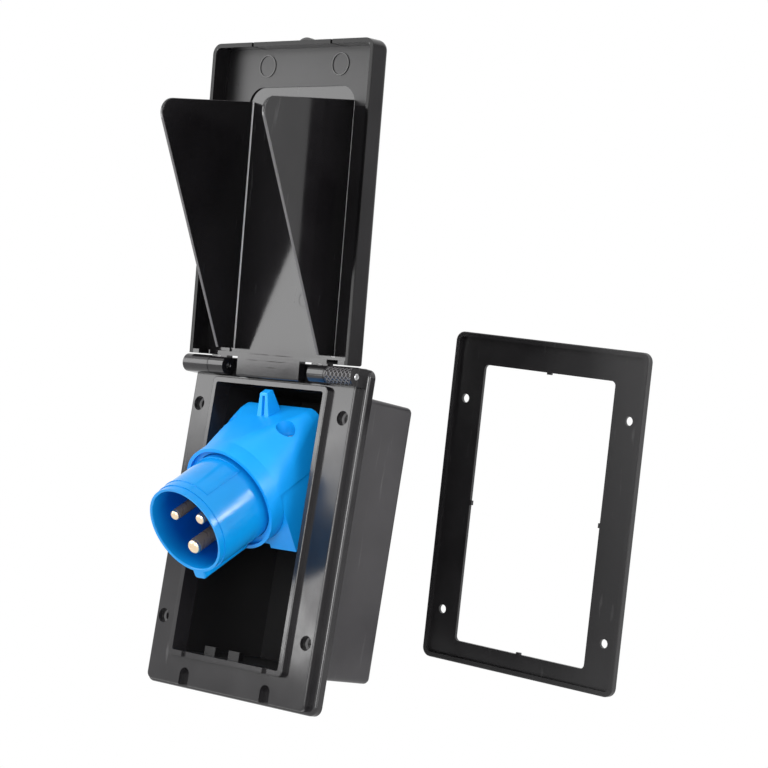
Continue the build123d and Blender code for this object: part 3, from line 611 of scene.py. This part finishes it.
def contact_brass(name, tip_end, seed):
    """Brass that is bright up to tip_end behind the mouth and tarnished from there on."""
    material, shader = shader_of(name, (0.9, 0.72, 0.5), 0.22, metal=1.0)
    links = material.node_tree.links
    back = seen_from_mouth(material)[1]
    tarnish = fitted(material, back, 0.0, 1.0, tip_end, tip_end + 0.0006)
    links.new(blended(material, tarnish, brass_tone, tarnish_tone), shader.inputs["Base Color"])
    links.new(fitted(material, tarnish, 1.0, tarnish_metal, 0.0, 1.0), shader.inputs["Metallic"])
    rings = mottle(material, 700.0, 2.0, stretch=(0.2, 1.0, 0.2), turn=(-inlet_tilt, 0, 0), seed=seed)
    links.new(fitted(material, rings, 0.24, 0.36), shader.inputs["Roughness"])
    relief(material, shader, ((rings, 0.000003),))
    return material


dress("pin_live", contact_brass("line_pin_brass", 0.0046, 44.0))
dress("pin_neutral", contact_brass("neutral_pin_brass", 0.0046, 45.0))
dress("pin_earth", contact_brass("earth_pin_brass", 0.0032, 46.0))


# Screws: small zinc-plated steel screws with crossed recesses, in the shell's shoulder pockets,
# the terminals, the cord clamp and the tilt bracket.
screw_zinc = steel("screw_zinc", (0.66, 0.67, 0.66), 0.28, (1.0, 1.0, 1.0), 51.0)
for name in ("housing_screws", "terminal_screws", "clamp_screws", "bracket_screws"):
    dress(name, screw_zinc)


# Tilt bracket: a folded and zinc-plated steel bracket at the back of the box that carries the
# inlet on its pin. Its satin face shows faint brushed lines.
bracket_zinc = steel("bracket_zinc", (0.48, 0.49, 0.5), 0.38, (0.12, 1.0, 1.0), 54.0)
dress("tilt_bracket", bracket_zinc)


# Cable gland: a dark nylon body and nut that clamp the cable where it enters the back of the
# box, drawn tight on a rubber washer.
gland_nylon = black_moulding("gland_nylon", (0.4, 0.52), 0.00008, 0.00002, 0.2, 61.0)[0]
washer_rubber = black_moulding("washer_rubber", (0.6, 0.78), 0.00005, 0.00003, 0.1, 64.0)[0]
dress("gland_body", gland_nylon)
dress("gland_nut", gland_nylon)
dress("gland_seal", washer_rubber)


# Clamping frame: a loose black moulding with a raised outer edge, slipped over the box behind
# the wall and drawn up by the four flange screws. It stands apart beside the box.
frame_black = black_moulding("frame_black", (0.3, 0.44), 0.0003, 0.00002, 0.3, 71.0)[0]
dress("mounting_frame", frame_black)


# Studio: a white floor well below the object and a white surround that the camera and the
# glossy surfaces see, while the object itself is lit at a plain level.
pure_white = (1.0, 1.0, 1.0, 1.0)
plain_level = 0.5


def seen_rays(holder):
    """One for the rays that see the backdrop: camera, glossy and transmission rays."""
    rays = holder.node_tree.nodes.new("ShaderNodeLightPath").outputs
    seen = arithmetic(holder, "MAXIMUM", rays["Is Camera Ray"], rays["Is Glossy Ray"])
    return arithmetic(holder, "MAXIMUM", seen, rays["Is Transmission Ray"])


world = bpy.data.worlds.new("studio")
bpy.context.scene.world = world
world.use_nodes = True
surround = world.node_tree
plain = surround.nodes["Background"]
plain.inputs["Color"].default_value = pure_white
plain.inputs["Strength"].default_value = plain_level
white = surround.nodes.new("ShaderNodeBackground")
white.inputs["Color"].default_value = pure_white
white.inputs["Strength"].default_value = 1.0
choice = surround.nodes.new("ShaderNodeMixShader")
surround.links.new(seen_rays(world), choice.inputs["Fac"])
surround.links.new(plain.outputs["Background"], choice.inputs[1])
surround.links.new(white.outputs["Background"], choice.inputs[2])
surround.links.new(choice.outputs["Shader"], surround.nodes["World Output"].inputs["Surface"])

floor_height = -0.26
bpy.ops.mesh.primitive_plane_add(size=6.0, location=(0, 0.4, floor_height))
floor = bpy.context.object
floor.name = "studio_floor"
bpy.ops.object.transform_apply(location=True, rotation=True, scale=True)
floor_white, floor_shader = shader_of("floor_white", (0.82, 0.82, 0.82), 0.9, specular=0.1)
floor_tree = floor_white.node_tree
glow = floor_tree.nodes.new("ShaderNodeEmission")
glow.inputs["Strength"].default_value = 1.0
floor_mix = floor_tree.nodes.new("ShaderNodeMixShader")
floor_tree.links.new(seen_rays(floor_white), floor_mix.inputs["Fac"])
floor_tree.links.new(floor_shader.outputs["BSDF"], floor_mix.inputs[1])
floor_tree.links.new(glow.outputs["Emission"], floor_mix.inputs[2])
floor_tree.links.new(floor_mix.outputs["Shader"], floor_tree.nodes["Material Output"].inputs["Surface"])
floor.data.materials.append(floor_white)


def softbox(name, place, aim, width, height, watts):
    """A rectangular lamp at one place, turned to another."""
    bpy.ops.object.light_add(type="AREA", location=place)
    lamp = bpy.context.object
    lamp.name = name
    lamp.data.shape = "RECTANGLE"
    lamp.data.size = width
    lamp.data.size_y = height
    lamp.data.energy = watts
    away = [p - a for p, a in zip(place, aim)]
    flat = math.hypot(away[0], away[1])
    lamp.rotation_euler = (math.atan2(flat, away[2]), 0.0, math.atan2(away[0], -away[1]))
    return lamp


object_middle = (0.0, -0.02, 0.05)
softbox("key_softbox", (-0.35, -0.95, 1.05), object_middle, 1.0, 0.8, 8.5)
softbox("side_softbox", (1.30, -0.10, 0.25), object_middle, 0.7, 0.9, 5.5)
front = softbox("front_softbox", (0.68, -1.00, 0.16), object_middle, 0.6, 0.6, 12.0)
softbox("lid_card", (-0.23, -0.26, 0.155), (0.0, -0.01, 0.165), 0.22, 0.23, 0.67)
softbox("flange_card", (-0.185, -0.265, 0.03), (0.05, -0.01, 0.03), 0.05, 0.07, 0.024)
softbox("low_card", (-0.15, -0.215, -0.045), (0.04, -0.008, -0.04), 0.03, 0.06, 0.045)
softbox("shroud_strip", (0.50, 0.20, 0.26), (0.02, -0.035, 0.01), 0.04, 0.22, 0.6)

# The front softbox is kept off the lid, the loose frame and the shroud, whose mouth stays dark.
shaded = bpy.data.collections.new("kept_from_front")
for name in ("inlet_shroud", "contact_carrier", "lid", "mounting_frame"):
    shaded.objects.link(nodes[name])
for piece in (border, *ejector_rings):
    shaded.objects.link(piece)
for member in shaded.collection_objects:
    member.light_linking.link_state = "EXCLUDE"
front.light_linking.receiver_collection = shaded


# Camera: at the height and angle that the four holes, the rim, the shroud and the loose frame
# give for the picture.
camera_place = (0.764365, -0.776404, -0.010880)
camera_turn = (1.646723, -0.160466, 0.733642)
bpy.ops.object.camera_add(location=camera_place, rotation=camera_turn)
camera = bpy.context.object
camera.data.sensor_width = 36.0
camera.data.lens = 109.308
camera.data.shift_x = 0.030853
camera.data.shift_y = -0.000722
camera.data.clip_start = 0.05
camera.data.clip_end = 20.0
bpy.context.scene.camera = camera
bpy.context.scene.view_settings.view_transform = "Standard"
